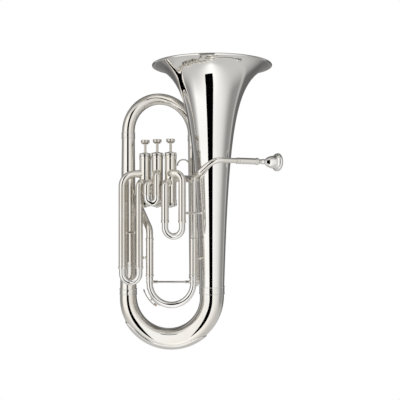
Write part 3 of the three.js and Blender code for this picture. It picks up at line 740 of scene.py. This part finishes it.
def strut(a, b, stand_off, radius=1.6, foot=3.2, cuff=None):
    """A soldered brace: a rod with a flared foot at each end, and beads or thicker cuffs next to the feet."""
    a, b = Vector(a), Vector(b)
    axis = (b - a).normalized()
    start, end = a + axis * stand_off[0], b - axis * stand_off[1]
    length = (end - start).length
    flare = min(2.6, length / 3)
    half = [(0, 0), (foot, 0), (foot, 0.5), (foot * 0.86, 0.8), ((foot + radius) / 2, flare * 0.55)]
    if cuff:
        half += [(radius + 0.8, flare), (radius + 0.8, cuff - 0.5), (radius, cuff)]
    else:
        half.append((radius, flare))
        if length > 25:
            bead = flare + 4.5
            raised = radius + 0.55
            half += [(radius, bead - 0.9), (raised, bead - 0.5), (raised, bead + 0.5), (radius, bead + 0.9)]
    mirrored = [(r, length - z) for r, z in reversed(half)]
    return Shape().lathe([*half, *mirrored], start, axis, sides=28, soft=0.35)


def build_braces():
    first, third, tuning = SLIDES["first"], SLIDES["third"], SLIDES["tuning"]
    off = SLEEVE_RADIUS + 0.02
    z = 226.7
    piece("third_slide_brace", strut((*third["left"], z), (*third["right"], z), (off, off), 1.8, 3.4))
    z = 178.9
    piece("sleeve_brace", strut((*third["right"], z), (*tuning["left"], z), (off, off)))
    z, angle = 263.7, 0.84
    on_bell = (BELL_X - bell_radius(z) * math.cos(angle), -bell_radius(z) * math.sin(angle), z)
    piece("first_slide_brace", strut((*first["right"], z), on_bell, (off, 0.1), 2.1, 3.5))
    z = 350.5
    piece("leadpipe_brace", strut((70, -44.4, z), (BELL_X, 0, z), (6.2, bell_radius(z) + 0.1), 2, 3))
    z = 177
    stand_off = (off, bell_radius(z) + 0.1)
    piece("tuning_sleeve_brace", strut((*tuning["right"], z), (BELL_X, 0, z), stand_off, 2, 3))
    z = 282.5
    piece("branch_brace", strut((*third["left"], z), (BRANCH_X, 0, z), (off, 14.3), 2, 3))
    z = tuning["bow"] + 2.3
    off = LEG_RADIUS + 0.02
    shape = strut((*tuning["left"], z), (*tuning["right"], z), (off, off), 1.9, 3.6, cuff=10)
    piece("tuning_slide_brace", shape)


def build_thumb_ring():
    x = VALVES["first"][0] + CASING_RADIUS + 1.7
    hook = Route([(x, -36, 352), (x, -36, 364, 11.3), (37.8, -31, 364, 11.3), (38.8, -33.5, 340)])
    # Painted shade: the ring takes the darker copy of the silver plate.
    piece("thumb_ring", Shape().wire(hook, 1.3, 20), "shaded_silver")


# ---- Water key ----

# Its places are given in degrees round the tuning slide's bow, down from the left end, and by the radius from
# the bow's centre.
TOUCH_AT, PIVOT_AT, CORK_AT = 15, 40, 53
TUNING_BOW_RADIUS = (SLIDES["tuning"]["right"][0] - SLIDES["tuning"]["left"][0]) / 2
BOW_SKIN = TUNING_BOW_RADIUS + LEG_RADIUS
LEVER_RADIUS = 52.6
PIVOT_RADIUS = LEVER_RADIUS - 1.6
TOUCH_LIFT = 1.2  # how much further out the lever's free end lies


def key_point(degrees, radius, y=0.0):
    """A point in the plane of the tuning slide's bow, or y behind it."""
    tuning = SLIDES["tuning"]
    x, z = (tuning["left"][0] + tuning["right"][0]) / 2, tuning["bow"]
    angle = math.radians(180 + degrees)
    return Vector((x + radius * math.cos(angle), tuning["left"][1] + y, z + radius * math.sin(angle)))


def key_ray(degrees):
    """The direction straight out from the bow's centre."""
    return key_point(degrees, 1) - key_point(degrees, 0)


def key_post(shape, degrees, low, high, radius, y=0.0, soft=0.3, top=None):
    """Adds a round post that stands out from the bow; top is its radius at the far end."""
    a, b = key_point(degrees, low, y), key_point(degrees, high, y)
    length = (b - a).length
    outline = [(0, 0), (radius, 0), (radius if top is None else top, length), (0, length)]
    return shape.lathe(outline, a, (b - a).normalized(), sides=24, soft=soft)


def key_pin(shape, degrees, radius, rod, half, y=0.0):
    """Adds a round pin across the bow, as long as twice half."""
    outline = [(0, 0), (rod, 0), (rod, 2 * half), (0, 2 * half)]
    return shape.lathe(outline, key_point(degrees, radius, y - half), (0, 1, 0), sides=20, soft=0.2)


def build_key_saddle():
    """The curved plate on the bow, with the hole's seat, two posts and the hinge pin."""
    rings = []
    for degrees in np.linspace(33, 62, 24):
        centre, ray = key_point(degrees, TUNING_BOW_RADIUS), key_ray(degrees)
        outer, inner = [], []
        for k in range(-36, 37, 6):
            angle = math.radians(k)
            direction = ray * math.cos(angle) + Vector((0, 1, 0)) * math.sin(angle)
            outer.append(centre + direction * (LEG_RADIUS + 1.2))
            inner.append(centre + direction * (LEG_RADIUS + 0.05))
        rings.append([*outer, *reversed(inner)])
    saddle = Shape().loft(rings)
    key_post(saddle, CORK_AT, BOW_SKIN + 0.9, BOW_SKIN + 2.3, 2.6, top=2.2)
    for y in (-3.4, 3.4):
        key_post(saddle, PIVOT_AT, BOW_SKIN + 0.9, PIVOT_RADIUS + 1.2, 1.15, y)
    key_pin(saddle, PIVOT_AT, PIVOT_RADIUS, 0.7, 4.4)
    piece("water_key_saddle", saddle)


def build_key_lever():
    """A curved bar with a touch at its free end, a hinge barrel and a cup for the cork."""
    thickness = 1.05
    rings = []
    for s in np.linspace(0, 1, 30):
        degrees = TOUCH_AT + (CORK_AT + 3 - TOUCH_AT) * s
        centre = key_point(degrees, LEVER_RADIUS + TOUCH_LIFT * (1 - s) ** 2)
        ray = key_ray(degrees)
        half = 1.4 + 1.1 * math.exp(-((s - 0.02) / 0.09) ** 2) + 0.5 * math.exp(-((s - 0.72) / 0.06) ** 2)
        ring = []
        for k in range(12):
            angle = 2 * math.pi * k / 12
            across = Vector((0, 1, 0)) * half * math.cos(angle)
            ring.append(centre + ray * thickness * math.sin(angle) + across)
        rings.append(ring)
    lever = Shape().loft(rings)
    key_pin(lever, PIVOT_AT, PIVOT_RADIUS, 1.7, 1.3, -0.9)
    key_post(lever, CORK_AT, LEVER_RADIUS - 1.4, LEVER_RADIUS + 0.3, 3.3, soft=0.5)
    touch = LEVER_RADIUS + TOUCH_LIFT
    key_post(lever, TOUCH_AT + 1, touch - 1.1, touch + 1.1, 3.4, soft=0.7)
    # Painted shade: the lever takes the darker copy of the silver plate.
    piece("water_key_lever", lever, "shaded_silver")


def build_water_key():
    build_key_saddle()
    build_key_lever()
    cork = key_post(Shape(), CORK_AT, BOW_SKIN + 2.4, LEVER_RADIUS - 1.5, 3, soft=0.4)
    piece("water_key_cork", cork)
    hub = key_point(PIVOT_AT, PIVOT_RADIUS)
    turns, count = 3, 60
    coil = Route.through([
        Vector((hub.x + 1.45 * math.cos(a), hub.y + 0.95 + 1.5 * i / (count - 1), hub.z + 1.45 * math.sin(a)))
        for i, a in enumerate(np.linspace(0, 2 * math.pi * turns, count))
    ])
    piece("water_key_spring", Shape().wire(coil, 0.25, 8))


# ---- Studio ----

def glow(name):
    """Light whose colour is painted on the card's corners."""
    material = bpy.data.materials.new(name)
    material.use_nodes = True
    tree = material.node_tree
    tree.nodes.remove(tree.nodes["Principled BSDF"])
    paint = tree.nodes.new("ShaderNodeAttribute")
    paint.attribute_name = "light"
    emission = tree.nodes.new("ShaderNodeEmission")
    emission.inputs["Strength"].default_value = 1.0
    tree.links.new(paint.outputs["Color"], emission.inputs["Color"])
    tree.links.new(emission.outputs["Emission"], tree.nodes["Material Output"].inputs["Surface"])
    return material


def card(name, verts, faces, lights, tint=(1, 1, 1)):
    """A card of the studio that only reflections see. lights has a brightness for each of the verts."""
    mesh = bpy.data.meshes.new(name)
    mesh.from_pydata(verts, [], faces)
    paint = mesh.color_attributes.new("light", "FLOAT_COLOR", "POINT")
    for corner, light in zip(paint.data, lights):
        corner.color = (light * tint[0], light * tint[1], light * tint[2], 1)
    mesh.materials.append(glow(name))
    sheet = bpy.data.objects.new(name, mesh)
    bpy.context.collection.objects.link(sheet)
    sheet.visible_camera = False
    sheet.visible_shadow = False
    return sheet


def between_stops(stops, x):
    """The height at x of the broken line through the (x, height) stops."""
    for (x0, y0), (x1, y1) in zip(stops, stops[1:]):
        if x <= x1:
            return y0 + (y1 - y0) * max(0.0, x - x0) / (x1 - x0)
    return stops[-1][1]


FLOOR_Z = -0.45
TABLE_Z = -0.44
# Brightness round the room: azimuth in degrees, 0 towards the camera and positive to the right.
ROOM = (
    (-180, 0.26), (-150, 0.13), (-140, 0.15), (-134, 0.55), (-129, 0.5), (-123, 0.26), (-95, 0.27),
    (-86, 0.42), (-77, 0.68), (-68, 1.05), (-8, 1.05), (12, 0.97), (40, 0.85), (56, 0.7), (66, 0.55),
    (76, 0.38), (86, 0.29), (107, 0.3), (112, 0.5), (118, 0.46), (123, 0.15), (150, 0.13), (180, 0.26),
)


def on_circle(centre, radius, azimuth, z):
    """The point of a level circle at an azimuth, measured as in ROOM."""
    a = math.radians(azimuth)
    return centre[0] + radius * math.sin(a), centre[1] - radius * math.cos(a), z


def build_room(centre=(0.05, 0.0), radius=2.2, high=1.7, roof=2.6):
    """Round walls that lean in above their upper edge, and a ceiling."""
    verts, lights, faces = [], [], []
    count = 240
    for i in range(count):
        azimuth = -180 + 360 * i / count
        light = between_stops(ROOM, azimuth)
        for reach, z in ((1.0, TABLE_Z), (1.0, high), (0.45, roof)):
            verts.append(on_circle(centre, reach * radius, azimuth, z))
            lights.append(light * reach)
        j = (i + 1) % count
        faces += [(3 * i, 3 * j, 3 * j + 1, 3 * i + 1), (3 * i + 1, 3 * j + 1, 3 * j + 2, 3 * i + 2)]
    card("Room", verts, faces, lights, (1.0, 0.992, 0.98))
    reach = 1.2
    ceiling = [(-reach, -reach, roof), (reach, -reach, roof), (reach, reach, roof), (-reach, reach, roof)]
    card("Ceiling", ceiling, [(0, 1, 2, 3)], [0.34] * 4, (1.0, 0.95, 0.84))


def build_table(centre=(0.05, 0.0)):
    """The floor as the silver sees it: bright in front, grey at the sides, and further out as the walls."""
    radii = (0.0, 0.15, 0.3, 0.5, 0.7, 0.9, 1.2, 1.5, 1.8, 2.2)
    count = 96
    verts, lights, faces = [], [], []
    for radius in radii:
        blend = min(1.0, max(0.0, (radius - 0.8) / 1.3))
        for i in range(count):
            azimuth = -180 + 360 * i / count
            near = 0.58 + 0.54 * math.exp(-((azimuth / 42) ** 2)) if radius else 0.7
            verts.append(on_circle(centre, radius, azimuth, TABLE_Z))
            lights.append(near + (between_stops(ROOM, azimuth) - near) * blend)
    for r in range(len(radii) - 1):
        for i in range(count):
            j = (i + 1) % count
            faces.append((r * count + i, r * count + j, (r + 1) * count + j, (r + 1) * count + i))
    card("Table", verts, faces, lights, (1.0, 0.99, 0.975))


def build_floor(size=30):
    """The white floor that the camera sees and the silver doesn't."""
    corners = [(-size, -size, FLOOR_Z), (size, -size, FLOOR_Z), (size, size, FLOOR_Z), (-size, size, FLOOR_Z)]
    floor = card("Floor", corners, [(0, 1, 2, 3)], [1.0] * 4)
    floor.visible_camera = True
    floor.visible_glossy = False


def build_camera_card():
    """The dark card below and behind the camera, wider towards its top. Each edge is ((x, x), y, z)."""
    foot = TABLE_Z + 0.002
    edges = [
        ((-0.23, 0.095), -0.55, foot), ((-0.45, 0.17), -1.17, foot), ((-0.45, 0.17), -1.17, 0.85),
        ((-0.52, 0.19), -1.17, 1.5),
    ]
    verts = [(x, y, z) for xs, y, z in edges for x in xs]
    faces = [(i, i + 1, i + 3, i + 2) for i in range(0, len(verts) - 2, 2)]
    card("Camera_card", verts, faces, [0.0] * len(verts))


def build_small_lights():
    """Lights close to the lowest bows, which keep the dark card out of them. Each is ((x, x), y, (z, z))."""
    lights = {
        "Bow": ((-0.05, 0.045), -0.075, (-0.035, 0.09)),
        "Third": ((-0.08, -0.066), -0.09, (0.10, 0.165)),
        "First": ((0.002, 0.016), -0.1, (0.19, 0.25)),
    }
    for name, ((x0, x1), y, (z0, z1)) in lights.items():
        corners = [(x0, y, z0), (x1, y, z0), (x1, y, z1), (x0, y, z1)]
        card(f"{name}_light", corners, [(0, 1, 2, 3)], [1.0] * 4)


def build_studio():
    world = bpy.data.worlds.new("Studio")
    bpy.context.scene.world = world
    world.use_nodes = True
    world.node_tree.nodes["Background"].inputs["Color"].default_value = (1, 1, 1, 1)
    world.node_tree.nodes["Background"].inputs["Strength"].default_value = 1.0
    bpy.context.scene.view_settings.view_transform = "Standard"
    build_floor()
    build_room()
    build_table()
    build_camera_card()
    build_small_lights()


def build_camera():
    """A level camera, 1.35 m in front of the bell's axis."""
    data = bpy.data.cameras.new("Camera")
    data.lens = 63
    data.sensor_width = 36
    camera = bpy.data.objects.new("Camera", data)
    camera.location = (0.0577, -1.35, 0.2881)
    camera.rotation_euler = (math.radians(90), 0, 0)
    bpy.context.collection.objects.link(camera)
    bpy.context.scene.camera = camera


build_camera()
build_bell()
build_bottom_bow()
build_branches()
for valve_name in VALVES:
    build_valve(valve_name)
build_valve_sleeves()
build_slide_bows()
build_tuning_sleeves()
build_connections()
build_leadpipe()
build_braces()
build_thumb_ring()
build_water_key()
# The nodes that no piece stands for keep their own meshes.
for node, cad in frame["nodes"].items():
    if not cad.hide_render:
        cad.data.materials.clear()
        cad.data.materials.append(MATERIALS[SLOT_OF[node]])
build_studio()
